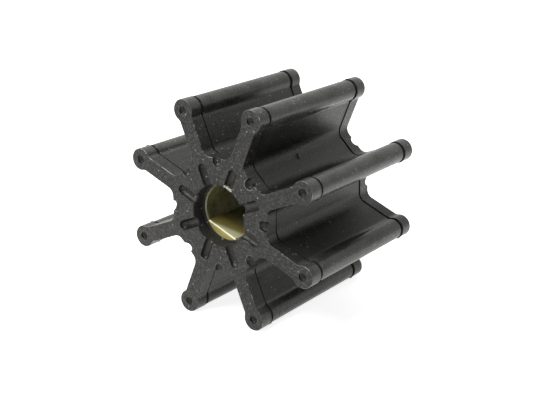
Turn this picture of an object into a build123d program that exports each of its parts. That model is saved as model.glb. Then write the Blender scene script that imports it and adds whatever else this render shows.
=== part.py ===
from build123d import *
import math
import os

# Flexible-vane pump impeller, all lengths in mm.
# A rubber moulding with straight vanes is bonded over a brass hub that has a D-shaped bore.
# The model is drawn standing on its shaft axis, with the front face up, and is then laid down:
# the axis lies along Y, the front face looks to -Y and the origin is the middle of the bore.
# It lies as it rests on a bench, on the tips of its two lowest vanes.

# Overall size
TIP_DIAMETER = 65.0
LENGTH = 50.0
VANE_COUNT = 8

# Vane section on the end bands
BULB_RADIUS = 3.1
VANE_THICKNESS = 4.3
HUB_FLAT_RADIUS = 15.85
ROOT_FILLET = 2.4
NECK_FILLET = 1.6

# End bands stand proud of the middle, with a parting groove behind each
BAND_WIDTH = 4.3
BAND_STEP = 0.15
PARTING_GROOVE_WIDTH = 0.5
PARTING_GROOVE_DEPTH = 0.3
MIDDLE_ROOT_FILLET = 3.2
FACE_EDGE_FILLET = 0.25

# Blind hole in each bulb, on both end faces: a straight wall, then a drill point
TIP_HOLE_DIAMETER = 2.3
TIP_HOLE_WALL_DEPTH = 0.6
TIP_HOLE_POINT_DEPTH = 0.7

# Round-nosed notches midway between the vanes, from an inner radius out into the valley
NOTCH_WIDTH = 2.9
NOTCH_INNER_RADIUS = 13.45
NOTCH_DEPTH = 1.45

# Round-nosed grooves in line with the vanes, from the recess out to an end radius
GROOVE_WIDTH = 2.8
GROOVE_END_RADIUS = 14.65
GROOVE_DEPTH = 1.5

# Recess in each end face, floored by a thin skin of rubber over the end of the brass
RECESS_DIAMETER = 17.2
RECESS_DEPTH = 4.2
SKIN_THICKNESS = 0.25
SKIN_SETBACK = 0.35

# Brass hub
BORE_DIAMETER = 15.2
BORE_FLAT_DISTANCE = 5.85
BORE_CHAMFER = 0.3
HUB_WALL = 3.2

# Directions about the shaft axis, in degrees; the lowest two vanes stand either side of DOWN
DOWN = -90.0
VANE_PITCH = 360 / VANE_COUNT
VANE_ANGLES = [DOWN + VANE_PITCH * (i + 0.5) for i in range(VANE_COUNT)]
VALLEY_ANGLES = [DOWN + VANE_PITCH * i for i in range(VANE_COUNT)]
BORE_FLAT_ANGLE = DOWN - VANE_PITCH / 2

# Sizes that follow
HALF_LENGTH = LENGTH / 2
MIDDLE_LENGTH = LENGTH - 2 * (BAND_WIDTH + PARTING_GROOVE_WIDTH)
BULB_CENTRE_RADIUS = TIP_DIAMETER / 2 - BULB_RADIUS
HUB_RADIUS = BORE_DIAMETER / 2 + HUB_WALL
HUB_LENGTH = LENGTH - 2 * RECESS_DEPTH

OUTWARDS = (Align.MIN, Align.CENTER)
UPWARDS = (Align.CENTER, Align.CENTER, Align.MIN)


def polar(radius, angle, height=0.0):
    """Place at a radius and angle about the shaft axis, with the local x axis pointing outwards."""
    return Rot(0, 0, angle) * Pos(radius, 0, height)


def at_both_ends(solid):
    """A solid drawn for the front end, and its mirror image at the back end."""
    return solid + mirror(solid, Plane.XY)


def vane_section(inset, root_fillet):
    """Section across hub and vanes, drawn in by an inset, with filleted roots and necks."""
    web = Rectangle(BULB_CENTRE_RADIUS, VANE_THICKNESS - 2 * inset, align=OUTWARDS)
    bulb = Pos(BULB_CENTRE_RADIUS, 0) * Rot(0, 0, 180) * Circle(BULB_RADIUS - inset)
    core = RegularPolygon(HUB_FLAT_RADIUS - inset, VANE_COUNT, major_radius=False)
    section = Rot(0, 0, VANE_ANGLES[0]) * core
    for angle in VANE_ANGLES:
        section += Rot(0, 0, angle) * (web + bulb)

    mid_vane = (HUB_FLAT_RADIUS + BULB_CENTRE_RADIUS) / 2
    roots = section.vertices().filter_by(lambda v: math.hypot(v.X, v.Y) < mid_vane)
    section = fillet(roots, root_fillet)
    necks = section.vertices().filter_by(lambda v: math.hypot(v.X, v.Y) > mid_vane)
    return fillet(necks, NECK_FILLET)


def end_band():
    """The proud band behind the front face, with the edge of the face rounded."""
    band = extrude(vane_section(0, ROOT_FILLET), BAND_WIDTH)
    face = band.faces().sort_by(Axis.Z)[-1]
    band = fillet(face.outer_wire().edges(), FACE_EDGE_FILLET)
    return Pos(0, 0, HALF_LENGTH - BAND_WIDTH) * band


def moulding_blank():
    """Hub and vanes from end to end, before anything is cut."""
    middle = vane_section(BAND_STEP, MIDDLE_ROOT_FILLET)
    groove = vane_section(BAND_STEP + PARTING_GROOVE_DEPTH, MIDDLE_ROOT_FILLET)
    blank = extrude(middle, MIDDLE_LENGTH / 2, both=True)
    blank += extrude(groove, MIDDLE_LENGTH / 2 + PARTING_GROOVE_WIDTH, both=True)
    return blank + at_both_ends(end_band())


def tip_holes():
    """Blind holes down the middle of the bulbs."""
    radius = TIP_HOLE_DIAMETER / 2
    hole = Cylinder(radius, TIP_HOLE_WALL_DEPTH, align=UPWARDS)
    hole += Pos(0, 0, -TIP_HOLE_POINT_DEPTH) * Cone(0, radius, TIP_HOLE_POINT_DEPTH, align=UPWARDS)
    height = HALF_LENGTH - TIP_HOLE_WALL_DEPTH
    return [polar(BULB_CENTRE_RADIUS, angle, height) * hole for angle in VANE_ANGLES]


def round_nosed_slot(width, depth, start, end):
    """Slot in the front face, left by a round-nosed cutter whose axis runs between two radii."""
    radius = width / 2
    length = end - start
    slot = Box(length, width, depth, align=(Align.MIN, Align.CENTER, Align.MIN))
    slot += Rot(0, 90, 0) * Cylinder(radius, length, align=UPWARDS)
    for place in (0, length):
        slot += Pos(place, 0, 0) * (Sphere(radius) + Cylinder(radius, depth, align=UPWARDS))
    return Pos(start, 0, HALF_LENGTH - depth + radius) * slot


def valley_notches():
    """Short slots at the edge of the hub that open sideways into the valleys."""
    radius = NOTCH_WIDTH / 2
    notch = round_nosed_slot(
        NOTCH_WIDTH, NOTCH_DEPTH, NOTCH_INNER_RADIUS + radius, HUB_FLAT_RADIUS + radius
    )
    return [polar(0, angle) * notch for angle in VALLEY_ANGLES]


def radial_grooves():
    """Slots that run outwards from the recess."""
    radius = GROOVE_WIDTH / 2
    groove = round_nosed_slot(GROOVE_WIDTH, GROOVE_DEPTH, radius, GROOVE_END_RADIUS - radius)
    return [polar(0, angle) * groove for angle in VANE_ANGLES]


def hub_seat():
    """Room for the brass hub, with the recesses and the openings in the skins."""
    seat = Cylinder(HUB_RADIUS, HUB_LENGTH)
    opening = Cylinder(BORE_DIAMETER / 2 + SKIN_SETBACK, LENGTH)
    recess = Cylinder(RECESS_DIAMETER / 2, RECESS_DEPTH, align=UPWARDS)
    recess = Pos(0, 0, HUB_LENGTH / 2 + SKIN_THICKNESS) * recess
    return seat + opening + at_both_ends(recess)


def rubber_impeller():
    """The whole rubber moulding."""
    moulding = moulding_blank() - hub_seat()
    for cutter in tip_holes() + valley_notches() + radial_grooves():
        moulding -= at_both_ends(cutter)
    return moulding


def brass_hub():
    """Turned hub with a D-shaped bore."""
    beyond_flat = Rectangle(BORE_DIAMETER, BORE_DIAMETER, align=OUTWARDS)
    bore = Circle(BORE_DIAMETER / 2) - Pos(BORE_FLAT_DISTANCE, 0) * beyond_flat
    outline = Circle(HUB_RADIUS) - Rot(0, 0, BORE_FLAT_ANGLE) * bore
    hub = extrude(outline, HUB_LENGTH / 2, both=True)
    ends = hub.faces().filter_by(Axis.Z)
    rims = [edge for end in ends for edge in end.inner_wires()[0].edges()]
    return chamfer(rims, BORE_CHAMFER)


def laid_down(solid):
    """Turn the model so that its shaft axis lies along Y and its front face looks to -Y."""
    return Plane.XZ * solid


os.makedirs("parts", exist_ok=True)
export_step(laid_down(rubber_impeller()), "parts/rubber_impeller.step")
export_step(laid_down(brass_hub()), "parts/brass_hub.step")
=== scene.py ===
import bmesh
import bpy
import math
import random
from mathutils import Matrix, Vector


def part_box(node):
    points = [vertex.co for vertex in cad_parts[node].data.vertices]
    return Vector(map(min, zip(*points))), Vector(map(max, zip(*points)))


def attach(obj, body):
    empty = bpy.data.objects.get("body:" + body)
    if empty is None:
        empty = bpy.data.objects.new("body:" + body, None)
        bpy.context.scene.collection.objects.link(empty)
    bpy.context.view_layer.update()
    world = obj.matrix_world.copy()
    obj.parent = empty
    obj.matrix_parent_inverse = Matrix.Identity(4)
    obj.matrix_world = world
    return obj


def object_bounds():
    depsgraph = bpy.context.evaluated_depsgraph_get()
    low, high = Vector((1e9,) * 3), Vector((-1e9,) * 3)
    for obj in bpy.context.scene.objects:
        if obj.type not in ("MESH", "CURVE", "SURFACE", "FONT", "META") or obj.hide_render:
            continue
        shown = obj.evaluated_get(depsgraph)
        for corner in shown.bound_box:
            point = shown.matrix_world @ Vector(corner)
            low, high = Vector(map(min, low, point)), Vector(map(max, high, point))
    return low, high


# Looks of a flexible-vane pump impeller: black rubber over a brass hub, on a white table.
# Sizes in this script are in millimetres and are turned into metres by MM. Angles are in degrees.
MM = 0.001

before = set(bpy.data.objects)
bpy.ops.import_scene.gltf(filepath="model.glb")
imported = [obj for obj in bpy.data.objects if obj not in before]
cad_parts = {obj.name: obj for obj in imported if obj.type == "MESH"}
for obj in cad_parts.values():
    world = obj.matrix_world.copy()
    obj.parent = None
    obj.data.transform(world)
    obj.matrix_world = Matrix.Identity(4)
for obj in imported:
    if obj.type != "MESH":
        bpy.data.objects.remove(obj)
cad_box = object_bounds()

# Sizes read from the frame
FACE_Y = cad_box[1].y / MM
FLOOR_Z = cad_box[0].z / MM
HUB_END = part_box("brass_hub")[1].y / MM

# Sizes of the moulding that the finishes follow
VANE_COUNT = 8
VANE_PITCH = 360 / VANE_COUNT
BULB_PLACE = 29.4
BULB_RADIUS = 3.1
TIP_HOLE_HALF_WIDTH = 1.15
MID_VANE = 20.5
HUB_FLAT_PLACE = 15.85
BAND_STEP = 0.15
NOTCH_PLACE = 14.9
NOTCH_HALF_WIDTH = 1.45
CUT_DEPTH = 1.5
PARTING_DEPTH = 4.55
RECESS_RADIUS = 8.6
FLAT_FACES = 67.5

# Camera: direction seen from the part, roll, distance, and aim beside the origin
CAMERA_AZIMUTH = 36.74
CAMERA_ELEVATION = 17.95
CAMERA_ROLL = -0.654
CAMERA_DISTANCE = 308.49
CAMERA_AIM = (-2.038, -2.096)
LENS = 73.68
SENSOR = 36.0

# Light: a large softbox above and in front, a bright backdrop behind, and dim surroundings.
# In the picture, and in what mirrors it, floor and surroundings are white.
KEY_AZIMUTH = -24
KEY_ELEVATION = 59
KEY_DISTANCE = 600
KEY_SIZE = 400
KEY_POWER = 5.0
BACKDROP_AZIMUTH = 205
BACKDROP_ELEVATION = 35
BACKDROP_SPREAD = 6.0
BACKDROP_LIGHT = 1.6
AMBIENT_LIGHT = 0.05
FLOOR_SEEN = 0.86
FLOOR_SIZE = 6000.0
WHITE = (1, 1, 1, 1)
FLOOR_COLOUR = (0.9, 0.9, 0.9, 1)

# Rubber: pairs are the dark and the pale end of a mottled finish
FLANK = (0.004, 0.004, 0.0035, 1), (0.010, 0.010, 0.009, 1)
FLANK_BLOOM = (0.030, 0.030, 0.027, 1)
FLANK_SPECKLE = (0.040, 0.040, 0.037, 1)
RUBBED_TIP = (0.048, 0.048, 0.044, 1), (0.076, 0.076, 0.068, 1)
END_FACE = (0.002, 0.002, 0.002, 1), (0.042, 0.042, 0.039, 1)
# Painted shade that darkens the end faces towards the upper right
END_FACE_PAINTED_SHADE = (0.002, 0.002, 0.002, 1)
END_FACE_SPECKLE = (0.052, 0.052, 0.049, 1)
# Painted shade inside the cuts: a plain darker tone near the hub, darker still in the tip holes
NEAR_HUB_CUT_SHADE = (0.012, 0.012, 0.011, 1)
TIP_HOLE_SHADE = (0.006, 0.006, 0.0055, 1)
HUB_SKIN = (0.03, 0.03, 0.027, 1)
# Painted shade in the parting grooves
PARTING_GROOVE_SHADE = (0.001, 0.001, 0.001, 1)
# Pale edges: painted highlight, with some wear
EDGE_HIGHLIGHT_AND_WEAR = (0.13, 0.13, 0.12, 1)
# Pale patches on the edges: chip marks and painted highlight
EDGE_CHIP_AND_HIGHLIGHT = (0.30, 0.30, 0.28, 1)
DUST = (0.30, 0.29, 0.26, 1)
NOTCH_LIP = (0.015, 0.015, 0.013, 1), (0.22, 0.22, 0.19, 1)
TORN_RUBBER = (0.16, 0.16, 0.13, 1), (0.52, 0.50, 0.42, 1)
RUBBER_SPECULAR_TINT = (1.0, 0.98, 0.93, 1)
RUBBER_SPECULAR = 0.32

# Brass, in the same pairs
BORE_WALL = (0.10, 0.10, 0.04, 1), (0.24, 0.23, 0.11, 1)
BORE_MARKS = (0.32, 0.30, 0.15, 1)
TURNED_END = (0.42, 0.36, 0.12, 1), (0.58, 0.50, 0.18, 1)
# Painted light on the flat, fading deeper into the bore
FLAT_MOUTH_PAINTED_LIGHT = (0.36, 0.29, 0.08, 1), (0.50, 0.41, 0.13, 1)
# Painted light on the flat of the bore: a bright pool near each end
FLAT_PAINTED_LIGHT = (0.74, 0.75, 0.46, 1), (0.86, 0.88, 0.58, 1)
ROUND_CHAMFER = (0.13, 0.125, 0.085, 1)
# Painted highlight: the chamfer along the flat is brighter than the round chamfer
FLAT_CHAMFER_HIGHLIGHT = (0.26, 0.25, 0.16, 1)
BRASS_METALLIC = 0.35

# Sockets of the Mix node when it mixes colours, which share their names with its other modes
MIX_A, MIX_B, MIX_RESULT = 6, 7, 2


class Nodes:
    """Steps of a node tree, for a material or for the world."""

    def __init__(self, tree):
        self.tree = tree

    def add(self, kind, **settings):
        """A new node with its settings."""
        node = self.tree.nodes.new(kind)
        for key, value in settings.items():
            setattr(node, key, value)
        return node

    def put(self, value, socket):
        """A link from an output, or a plain value, into a socket."""
        if isinstance(value, bpy.types.NodeSocket):
            self.tree.links.new(value, socket)
        else:
            socket.default_value = value

    def math(self, operation, a, b=0.0):
        """One arithmetic step on numbers or outputs."""
        node = self.add("ShaderNodeMath", operation=operation)
        self.put(a, node.inputs[0])
        self.put(b, node.inputs[1])
        return node.outputs[0]

    def plus(self, a, b):
        """The sum of two values."""
        return self.math("ADD", a, b)

    def minus(self, a, b):
        """The difference of two values."""
        return self.math("SUBTRACT", a, b)

    def times(self, first, *others):
        """The product of some values."""
        for other in others:
            first = self.math("MULTIPLY", first, other)
        return first

    def most(self, first, *others):
        """The largest of some values."""
        for other in others:
            first = self.math("MAXIMUM", first, other)
        return first

    def size(self, value):
        """A value without its sign."""
        return self.math("ABSOLUTE", value)

    def rest_of(self, value):
        """What is left up to 1."""
        return self.minus(1.0, value)

    def shows_white(self):
        """1 on rays that show the background, in mirrors and glass too, and 0 on rays of light."""
        path = self.add("ShaderNodeLightPath").outputs
        return self.most(path["Is Camera Ray"], path["Is Glossy Ray"], path["Is Transmission Ray"])


class Look(Nodes):
    """A node material, built step by step in the part's own coordinates."""

    def __init__(self, name):
        self.material = bpy.data.materials.new(name)
        self.material.use_nodes = True
        super().__init__(self.material.node_tree)
        self.shader = self.tree.nodes["Principled BSDF"]
        self.place = self.add("ShaderNodeTexCoord").outputs["Object"]
        self.normal = self.add("ShaderNodeTexCoord").outputs["Normal"]

    def finish(self, name, value):
        """Set one input of the shader."""
        self.put(value, self.shader.inputs[name])

    def step(self, value, low, high, out_low=0.0, out_high=1.0):
        """A smooth step of a value from one number to another."""
        node = self.add("ShaderNodeMapRange", interpolation_type="SMOOTHSTEP")
        names = ("Value", "From Min", "From Max", "To Min", "To Max")
        for name, number in zip(names, (value, low, high, out_low, out_high)):
            self.put(number, node.inputs[name])
        return node.outputs["Result"]

    def between(self, length, low, high, out_low=0.0, out_high=1.0):
        """A smooth step of a length from one number of millimetres to another."""
        return self.step(length, low * MM, high * MM, out_low, out_high)

    def mix(self, factor, a, b):
        """A colour between a and b."""
        node = self.add("ShaderNodeMix", data_type="RGBA")
        self.put(factor, node.inputs["Factor"])
        self.put(a, node.inputs[MIX_A])
        self.put(b, node.inputs[MIX_B])
        return node.outputs[MIX_RESULT]

    def stretched(self, stretch):
        """The place, scaled along each axis."""
        node = self.add("ShaderNodeVectorMath", operation="MULTIPLY")
        self.put(self.place, node.inputs[0])
        node.inputs[1].default_value = stretch
        return node.outputs[0]

    def noise(self, grain, stretch=(1, 1, 1), detail=3.0, roughness=0.55):
        """Noise with a grain size in millimetres, stretched along an axis if asked."""
        node = self.add("ShaderNodeTexNoise", noise_dimensions="3D")
        self.put(self.stretched(stretch), node.inputs["Vector"])
        node.inputs["Scale"].default_value = 1 / (grain * MM)
        node.inputs["Detail"].default_value = detail
        node.inputs["Roughness"].default_value = roughness
        return node.outputs["Fac"]

    def dots(self, spacing, size, seed=0.0):
        """Scattered round specks: 1 inside a speck, 0 outside."""
        node = self.add("ShaderNodeTexVoronoi", feature="F1", voronoi_dimensions="4D")
        self.put(self.place, node.inputs["Vector"])
        node.inputs["W"].default_value = seed
        node.inputs["Scale"].default_value = 1 / (spacing * MM)
        return self.step(node.outputs["Distance"], size, size * 0.6)

    def length(self, a, b):
        """The length of a step with two sides."""
        return self.math("SQRT", self.plus(self.times(a, a), self.times(b, b)))

    def towards(self, x, z, right, up):
        """How far two sides reach in a direction, given by its shares to the right and up."""
        return self.plus(self.times(x, right), self.times(z, up))

    def sector(self, x, z, radius, shift):
        """Place along and across the nearest vane, or valley when shifted by a half."""
        turn = self.math("DIVIDE", self.math("ARCTAN2", z, x), math.radians(VANE_PITCH))
        beside = self.minus(self.math("FRACT", self.plus(turn, shift)), 0.5)
        beside = self.times(beside, math.radians(VANE_PITCH))
        along = self.times(radius, self.math("COSINE", beside))
        return along, self.times(radius, self.math("SINE", beside))

    def bump(self, height, depth, below=None):
        """A bump of the given depth in millimetres, on top of another one."""
        node = self.add("ShaderNodeBump")
        node.inputs["Distance"].default_value = depth * MM
        self.put(height, node.inputs["Height"])
        if below is not None:
            self.put(below, node.inputs["Normal"])
        return node.outputs["Normal"]

    def axes(self, vector):
        """The three numbers of a vector."""
        node = self.add("ShaderNodeSeparateXYZ")
        self.put(vector, node.inputs[0])
        return node.outputs


class Rubber(Look):
    """Moulded black rubber: mottled end faces, smoother moulded flanks, pale edges of painted
    highlight and wear, and dust.
    """

    def __init__(self, name):
        super().__init__(name)
        self.find_zones()
        self.find_cuts()
        self.make_textures()
        self.line = self.parting_groove_shade()
        self.finish("Base Color", self.colour())
        self.finish("Roughness", self.roughness())
        self.finish("Normal", self.relief())
        self.finish("Specular Tint", RUBBER_SPECULAR_TINT)
        self.finish("Specular IOR Level", RUBBER_SPECULAR)

    def find_zones(self):
        """The end faces, their edges, the tips, and the lower right side, where the flanks are
        painted darker as shade.
        """
        self.x, y, self.z = self.axes(self.place)
        self.depth = self.size(y)
        self.radius = self.length(self.x, self.z)
        facing = self.size(self.axes(self.normal)[1])
        on_face = self.between(self.depth, FACE_Y - 0.2, FACE_Y - 0.05)
        self.face = self.times(on_face, self.step(facing, 0.85, 0.98))
        by_face = self.between(self.depth, FACE_Y - 0.3, FACE_Y - 0.15)
        self.edge = self.times(by_face, self.step(facing, 0.98, 0.7))
        neck = BULB_PLACE - BULB_RADIUS
        self.tip = self.between(self.radius, neck - 0.3, neck + 0.7)
        # Painted shade on the lower right side: less bloom and fewer speckles on its flanks, which
        # are also rougher
        lower_right = self.towards(self.x, self.z, 0.8, -0.6)
        self.shaded_side = self.between(lower_right, 15, 22)
        self.unshaded = self.rest_of(self.times(self.shaded_side, 0.8))

    def find_cuts(self):
        """The tip holes, the notches, the grooves and the recess."""
        along, across = self.sector(self.x, self.z, self.radius, 0.0)
        off_hole = self.length(self.minus(along, BULB_PLACE * MM), across)
        along, across = self.sector(self.x, self.z, self.radius, 0.5)
        before = self.math("MINIMUM", self.minus(along, NOTCH_PLACE * MM), 0.0)
        self.off_notch = self.length(before, across)
        near_face = self.between(self.depth, FACE_Y - CUT_DEPTH - 0.3, FACE_Y - CUT_DEPTH - 0.1)
        in_hole = self.between(off_hole, TIP_HOLE_HALF_WIDTH + 0.25, TIP_HOLE_HALF_WIDTH + 0.15)
        self.hole = self.times(in_hole, near_face)
        self.recess = self.between(self.radius, RECESS_RADIUS + 0.6, RECESS_RADIUS + 0.4)
        on_hub = self.between(self.radius, HUB_FLAT_PLACE + 0.05, HUB_FLAT_PLACE - 0.15)
        self.cut_in = self.most(self.hole, self.times(on_hub, near_face))

    def make_textures(self):
        """The noises that colour, gloss and relief share."""
        self.grain = self.noise(0.7, detail=5.0, roughness=0.75)
        self.fine = self.noise(0.3, detail=3.0, roughness=0.6)
        self.speckle = self.step(self.noise(0.42, detail=2.0, roughness=0.6), 0.52, 0.58)
        self.cloud = self.noise(6.0, detail=3.0)

    def parting_groove_shade(self):
        """Painted shade along each parting groove: faint on the flanks, wide round the tips."""
        off_line = self.size(self.minus(self.depth, (FACE_Y - PARTING_DEPTH) * MM))
        faint = self.step(self.cloud, 0.38, 0.58, 0.3, 1.0)
        narrow = self.times(self.between(off_line, 0.40, 0.22), faint)
        ragged = self.step(self.grain, 0.35, 0.5, 0.6, 1.0)
        wide = self.times(self.between(off_line, 0.66, 0.44), ragged)
        return self.most(narrow, self.times(self.tip, wide))

    def flank(self):
        """Moulded flanks: streaks of bloom and speckles on dark rubber, fewer on the lower right
        as painted shade, and rubbed tips.
        """
        streak = self.noise(1.2, stretch=(1, 0.08, 1), detail=4.0)
        patchy = self.step(self.grain, 0.3, 0.7)
        bloom = self.times(self.step(streak, 0.42, 0.72), patchy, self.unshaded)
        flank = self.mix(self.cloud, *FLANK)
        flank = self.mix(self.times(bloom, 0.8), flank, FLANK_BLOOM)
        flank = self.mix(self.times(self.speckle, self.unshaded, 0.6), flank, FLANK_SPECKLE)
        rubbed = self.mix(self.step(self.grain, 0.35, 0.65), *RUBBED_TIP)
        on_tip = self.times(self.tip, self.step(self.cloud, 0.3, 0.6, 0.4, 0.9))
        return self.mix(on_tip, flank, rubbed)

    def end_face(self):
        """Mottled end faces with speckles, and painted shade that darkens them towards the upper
        right.
        """
        # Painted shade: the end faces grow darker towards the upper right
        upper_right = self.towards(self.x, self.z, 0.8, 0.6)
        upper_right = self.plus(upper_right, self.times(self.cloud, 10 * MM))
        shade = self.between(upper_right, -28, 8, 0.25, 0.85)
        face = self.mix(self.step(self.grain, 0.42, 0.62), *END_FACE)
        face = self.mix(shade, face, END_FACE_PAINTED_SHADE)
        return self.mix(self.times(self.speckle, 0.8), face, END_FACE_SPECKLE)

    def painted_light(self):
        """Painted highlight, with some pale wear, on the edges of the end faces and round the rims
        of the notches.
        """
        inner = self.between(self.off_notch, NOTCH_HALF_WIDTH - 0.05, NOTCH_HALF_WIDTH + 0.01)
        outer = self.between(self.off_notch, NOTCH_HALF_WIDTH + 0.3, NOTCH_HALF_WIDTH + 0.1)
        on_hub = self.between(self.radius, HUB_FLAT_PLACE + 0.55, HUB_FLAT_PLACE + 0.35)
        rim = self.times(inner, outer, self.face, on_hub)
        return self.times(self.most(rim, self.edge), self.step(self.grain, 0.4, 0.6))

    def colour(self):
        """All the colours, from the flanks up to the dust."""
        outside = self.between(self.radius, MID_VANE - 0.5, MID_VANE + 0.5)
        # Painted shade in the cuts: the tip holes and the cuts near the hub take a plain darker
        # tone
        cut_shade = self.mix(outside, NEAR_HUB_CUT_SHADE, TIP_HOLE_SHADE)
        skin = self.times(self.recess, self.between(self.depth, HUB_END + 0.6, HUB_END + 0.3))
        chip_and_highlight_patches = self.step(self.noise(2.2, detail=4.0, roughness=0.6), 0.54, 0.60)
        dust = self.most(self.dots(1.3, 0.22), self.dots(4.0, 0.12, 3.0))
        colour = self.mix(self.cut_in, self.flank(), cut_shade)
        colour = self.mix(skin, colour, HUB_SKIN)
        # Painted shade along the parting grooves
        colour = self.mix(self.times(self.line, 0.95), colour, PARTING_GROOVE_SHADE)
        colour = self.mix(self.face, colour, self.end_face())
        # Painted highlight and pale wear on the edges and notch rims
        colour = self.mix(self.times(self.painted_light(), 0.7), colour, EDGE_HIGHLIGHT_AND_WEAR)
        # Pale chip marks and painted highlight in patches along the edges
        colour = self.mix(self.times(self.edge, chip_and_highlight_patches, 0.8), colour, EDGE_CHIP_AND_HIGHLIGHT)
        return self.mix(self.times(dust, 0.7), colour, DUST)

    def roughness(self):
        """Glossy flanks and tips, rougher end faces, and dull grooves, holes and recesses."""
        off_face = self.rest_of(self.face)
        off_tip = self.rest_of(self.tip)
        rough = self.plus(self.step(self.fine, 0.2, 0.8, 0.24, 0.34), self.times(self.face, 0.22))
        rough = self.plus(rough, self.times(self.shaded_side, 0.2, off_tip, off_face))
        rough = self.minus(rough, self.times(self.tip, 0.04))
        dull = self.most(self.times(self.line, 0.95), self.times(self.hole, 0.45))
        dull = self.most(dull, self.times(self.recess, 0.62))
        return self.plus(self.most(rough, dull), self.times(self.cloud, 0.06))

    def relief(self):
        """Ripples and fine pits, nearly smooth on the tips."""
        even = self.rest_of(self.times(self.tip, 0.85))
        relief = self.bump(self.noise(2.5, stretch=(1, 0.35, 1)), 0.12)
        relief = self.bump(self.times(self.grain, even), 0.08, relief)
        relief = self.bump(self.times(self.speckle, even), 0.02, relief)
        return self.bump(self.times(self.fine, even), 0.05, relief)


def brass_look():
    """Turned brass with fine tool marks round the shaft axis and a dull patina, and painted light
    on the flat near the ends of the bore.
    """
    look = Look("brass_turned")
    x, y, z = look.axes(look.place)
    nx, ny, nz = look.axes(look.normal)
    depth = look.size(y)
    facing = look.size(ny)
    right, up = math.cos(math.radians(FLAT_FACES)), math.sin(math.radians(FLAT_FACES))
    towards_flat = look.towards(nx, nz, right, up)
    flat = look.step(towards_flat, 0.9, 0.98)
    end = look.step(facing, 0.85, 0.98)
    chamfer = look.times(look.step(facing, 0.3, 0.5), look.step(facing, 0.95, 0.85))
    # Painted light: the flat brightens towards the ends of the bore
    mouth = look.times(flat, look.between(depth, HUB_END - 11.0, HUB_END - 3.5))
    # Painted light on the flat near each end of the bore, cut off by a slanting line like a shadow
    # edge
    slope = 0.46
    slanted = look.plus(depth, look.times(look.towards(x, z, up, -right), slope))
    painted_light = look.times(flat, look.between(slanted, HUB_END - 2.8, HUB_END - 0.8))

    patina = look.noise(3.0, detail=4.0)
    marks = look.noise(0.25, stretch=(1, 0.15, 1), detail=2.0)
    colour = look.mix(look.step(patina, 0.35, 0.65), *BORE_WALL)
    colour = look.mix(look.step(marks, 0.45, 0.7, 0.0, 0.5), colour, BORE_MARKS)
    colour = look.mix(end, colour, look.mix(patina, *TURNED_END))
    colour = look.mix(mouth, colour, look.mix(patina, *FLAT_MOUTH_PAINTED_LIGHT))
    colour = look.mix(painted_light, colour, look.mix(patina, *FLAT_PAINTED_LIGHT))
    # The chamfer along the flat takes a painted highlight, brighter than the round chamfer
    rim = look.mix(look.step(towards_flat, 0.58, 0.66), ROUND_CHAMFER, FLAT_CHAMFER_HIGHLIGHT)
    look.finish("Base Color", look.mix(look.times(chamfer, 0.9), colour, rim))
    look.finish("Metallic", BRASS_METALLIC)
    rough = look.step(marks, 0.3, 0.7, 0.40, 0.52)
    look.finish("Roughness", look.minus(rough, look.times(chamfer, 0.12)))
    look.finish("Normal", look.bump(marks, 0.02))
    return look.material


def torn_look(name, dark, pale):
    """Torn rubber, bleached pale in patches."""
    look = Look(name)
    patches = look.step(look.noise(0.5, detail=4.0), 0.38, 0.62)
    look.finish("Base Color", look.mix(patches, dark, pale))
    look.finish("Roughness", look.step(patches, 0.0, 1.0, 0.5, 0.7))
    look.finish("Normal", look.bump(patches, 0.04))
    return look.material


def spoke(angle, radius, y):
    """A place at an angle and radius about the shaft axis."""
    a = math.radians(angle)
    return Vector((radius * math.cos(a), y, radius * math.sin(a)))


def strips(name, runs, material):
    """One piece on the rubber, of thin closed strips: each is a run of four-cornered sections."""
    points, faces = [], []
    for run in runs:
        start = len(points)
        for section in run:
            points.extend(corner * MM for corner in section)
        for i in range(len(run) - 1):
            a, b = start + 4 * i, start + 4 * (i + 1)
            faces.extend((a + k, a + (k + 1) % 4, b + (k + 1) % 4, b + k) for k in range(4))
        last = start + 4 * (len(run) - 1)
        faces.append((start + 3, start + 2, start + 1, start))
        faces.append((last, last + 1, last + 2, last + 3))
    mesh = bpy.data.meshes.new(name)
    mesh.from_pydata(points, [], faces)
    piece = bpy.data.objects.new(name, mesh)
    bpy.context.scene.collection.objects.link(piece)
    sides = bmesh.new()
    sides.from_mesh(mesh)
    bmesh.ops.recalc_face_normals(sides, faces=sides.faces)
    sides.to_mesh(mesh)
    sides.free()
    mesh.materials.append(material)
    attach(piece, "root")


def parting_flash(material):
    """Ragged flash that stands out of the parting grooves, round the tips of the vanes."""
    chance = random.Random(11)
    sunk, buried = 0.7, -0.2
    starts = (-110, -60, 5, 60)
    runs = []
    for i in range(VANE_COUNT):
        vane = VANE_PITCH * (i + 0.5)
        centre = spoke(vane, BULB_PLACE, 0)
        for end in (-1, 1):
            place = end * (FACE_Y - PARTING_DEPTH)
            for start in starts:
                turn = start + chance.uniform(0, 35)
                thick = Vector((0, chance.uniform(0.06, 0.12), 0))
                run = []
                count = chance.randint(5, 10)
                for k in range(count):
                    proud = chance.uniform(-0.05, 0.22) if 0 < k < count - 1 else buried
                    inner = centre + spoke(vane + turn, BULB_RADIUS - sunk, place)
                    outer = centre + spoke(vane + turn, BULB_RADIUS + proud, place)
                    outer.z = max(outer.z, FLOOR_Z)
                    run.append([inner - thick, outer - thick, outer + thick, inner + thick])
                    turn += chance.uniform(2.5, 4.5)
                runs.append(run)
    strips("parting_flash", runs, material)


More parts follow.
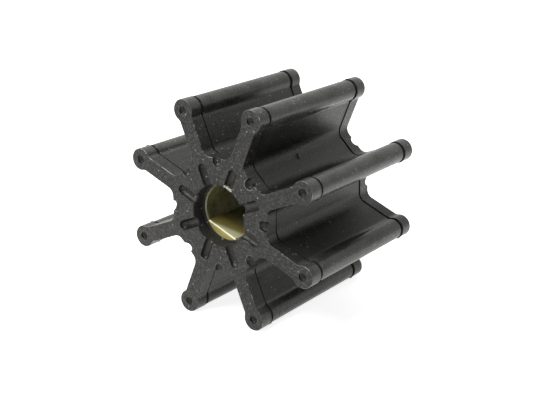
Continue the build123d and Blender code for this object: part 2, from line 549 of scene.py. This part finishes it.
def notch_lip(material):
    """The raised lip round one notch of the front face."""
    chance = random.Random(4)
    notch, half_turn, steps = 45, 112, 24
    overhang, width, sunk = 0.03, 0.19, 0.3
    centre = spoke(notch, NOTCH_PLACE, 0)
    run = []
    for k in range(steps + 1):
        turn = notch + 180 + half_turn * (2 * k / steps - 1)
        inner = centre + spoke(turn, NOTCH_HALF_WIDTH - overhang, 0)
        outer = centre + spoke(turn, NOTCH_HALF_WIDTH + width + chance.uniform(-0.04, 0.06), 0)
        top = Vector((0, -FACE_Y - chance.uniform(0.05, 0.14), 0))
        low = Vector((0, -FACE_Y + sunk, 0))
        run.append([inner + low, outer + low, outer + top, inner + top])
    strips("notch_lip", [run], material)


def valley_nib(material):
    """The small torn nib that stands on the floor of one valley."""
    chance = random.Random(5)
    valley, aside, forward = 45, 2.1, 1.5
    half_steps, stride, drift = 4, 0.2, 0.07
    thin, thicker, height, sunk = 0.12, 0.18, 0.5, 0.1
    outward, beside, backward = spoke(valley, 1, 0), spoke(valley + 90, 1, 0), Vector((0, 1, 0))
    middle = outward * (HUB_FLAT_PLACE - BAND_STEP - sunk) + beside * aside - backward * forward
    run = []
    for k in range(-half_steps, half_steps + 1):
        place = middle + (beside * stride + backward * drift) * k
        bulge = math.sqrt(1 - (k / (half_steps + 0.5)) ** 2)
        wide = backward * (thin + thicker * bulge)
        narrow = wide * 0.5
        top = place + outward * (sunk + height * bulge + chance.uniform(0, 0.04))
        run.append([place - wide, place + wide, top + narrow, top - narrow])
    strips("valley_nib", [run], material)


def groove_web(material):
    """The torn web of rubber left across the mouth of one groove of the front face."""
    chance = random.Random(7)
    groove, half_turn, steps = 67.5, 9.9, 8
    overhang, width, thick = 0.02, 0.6, 0.45
    run = []
    for k in range(steps + 1):
        turn = groove + half_turn * (2 * k / steps - 1)
        inner = RECESS_RADIUS - overhang + chance.uniform(0, 0.12)
        outer = RECESS_RADIUS + width + chance.uniform(-0.15, 0.12)
        top, low = -FACE_Y + chance.uniform(0.0, 0.10), -FACE_Y + thick
        corners = ((inner, low), (outer, low), (outer, top), (inner, top))
        run.append([spoke(turn, radius, y) for radius, y in corners])
    strips("groove_web", [run], material)


def finish_node(name, material):
    """Give a CAD node its finish."""
    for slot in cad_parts[name].material_slots:
        slot.material = material


def white_table():
    """A white floor that keeps the soft shadow and shows as the white background."""
    half = FLOOR_SIZE * MM / 2
    mesh = bpy.data.meshes.new("floor")
    corners = [(-half, -half, 0), (half, -half, 0), (half, half, 0), (-half, half, 0)]
    mesh.from_pydata(corners, [], [(0, 1, 2, 3)])
    floor = bpy.data.objects.new("floor", mesh)
    floor.location.z = FLOOR_Z * MM
    bpy.context.scene.collection.objects.link(floor)
    look = Look("floor_white")
    look.finish("Base Color", FLOOR_COLOUR)
    look.finish("Roughness", 0.9)
    look.finish("Specular IOR Level", 0.0)
    look.finish("Emission Color", WHITE)
    look.finish("Emission Strength", look.times(look.shows_white(), FLOOR_SEEN))
    mesh.materials.append(look.material)


def direction(azimuth, elevation):
    """The unit vector that points from the part to a place around it; azimuth 0 is in front."""
    a, e = math.radians(azimuth), math.radians(elevation)
    return Vector((math.sin(a) * math.cos(e), -math.cos(a) * math.cos(e), math.sin(e)))


def white_world():
    """Surroundings that show as white, and that light the part mostly from behind."""
    world = bpy.data.worlds.new("surroundings")
    bpy.context.scene.world = world
    world.use_nodes = True
    nodes = Nodes(world.node_tree)
    towards = nodes.add("ShaderNodeVectorMath", operation="DOT_PRODUCT")
    nodes.put(nodes.add("ShaderNodeTexCoord").outputs["Generated"], towards.inputs[0])
    nodes.put(direction(BACKDROP_AZIMUTH, BACKDROP_ELEVATION), towards.inputs[1])
    off_backdrop = nodes.minus(towards.outputs["Value"], 1.0)
    lobe = nodes.math("EXPONENT", nodes.times(off_backdrop, BACKDROP_SPREAD))
    strength = nodes.plus(nodes.times(lobe, BACKDROP_LIGHT), AMBIENT_LIGHT)
    light = world.node_tree.nodes["Background"]
    seen = nodes.add("ShaderNodeBackground")
    for background, value in ((light, strength), (seen, 1.0)):
        nodes.put(WHITE, background.inputs["Color"])
        nodes.put(value, background.inputs["Strength"])
    mix = nodes.add("ShaderNodeMixShader")
    nodes.put(nodes.shows_white(), mix.inputs[0])
    nodes.put(light.outputs[0], mix.inputs[1])
    nodes.put(seen.outputs[0], mix.inputs[2])
    nodes.put(mix.outputs[0], world.node_tree.nodes["World Output"].inputs["Surface"])


def softbox(name, azimuth, elevation, distance, size, power):
    """A square area lamp that looks at the part from a direction."""
    data = bpy.data.lights.new(name, "AREA")
    data.shape = "SQUARE"
    data.size = size * MM
    data.energy = power
    lamp = bpy.data.objects.new(name, data)
    back = direction(azimuth, elevation)
    lamp.location = back * distance * MM
    lamp.rotation_mode = "QUATERNION"
    lamp.rotation_quaternion = (-back).to_track_quat("-Z", "Y")
    bpy.context.scene.collection.objects.link(lamp)


def camera():
    """The photograph's viewpoint."""
    back = direction(CAMERA_AZIMUTH, CAMERA_ELEVATION)
    level = direction(CAMERA_AZIMUTH + 90, 0)
    right = Matrix.Rotation(math.radians(CAMERA_ROLL), 3, back) @ level
    up = back.cross(right)
    data = bpy.data.cameras.new("camera")
    data.lens = LENS
    data.sensor_width = SENSOR
    data.clip_start = 0.01
    data.clip_end = 20.0
    eye = bpy.data.objects.new("camera", data)
    place = back * CAMERA_DISTANCE + right * CAMERA_AIM[0] + up * CAMERA_AIM[1]
    turn = Matrix((right, up, back)).transposed().to_4x4()
    eye.matrix_world = Matrix.Translation(place * MM) @ turn
    bpy.context.scene.collection.objects.link(eye)
    bpy.context.scene.camera = eye


rubber = Rubber("rubber_moulding").material
finish_node("rubber_impeller", rubber)
finish_node("brass_hub", brass_look())
parting_flash(rubber)
notch_lip(torn_look("rubber_lip", *NOTCH_LIP))
torn = torn_look("rubber_torn", *TORN_RUBBER)
valley_nib(torn)
groove_web(torn)
white_table()
white_world()
softbox("key_softbox", KEY_AZIMUTH, KEY_ELEVATION, KEY_DISTANCE, KEY_SIZE, KEY_POWER)
camera()
bpy.context.scene.view_settings.view_transform = "Standard"
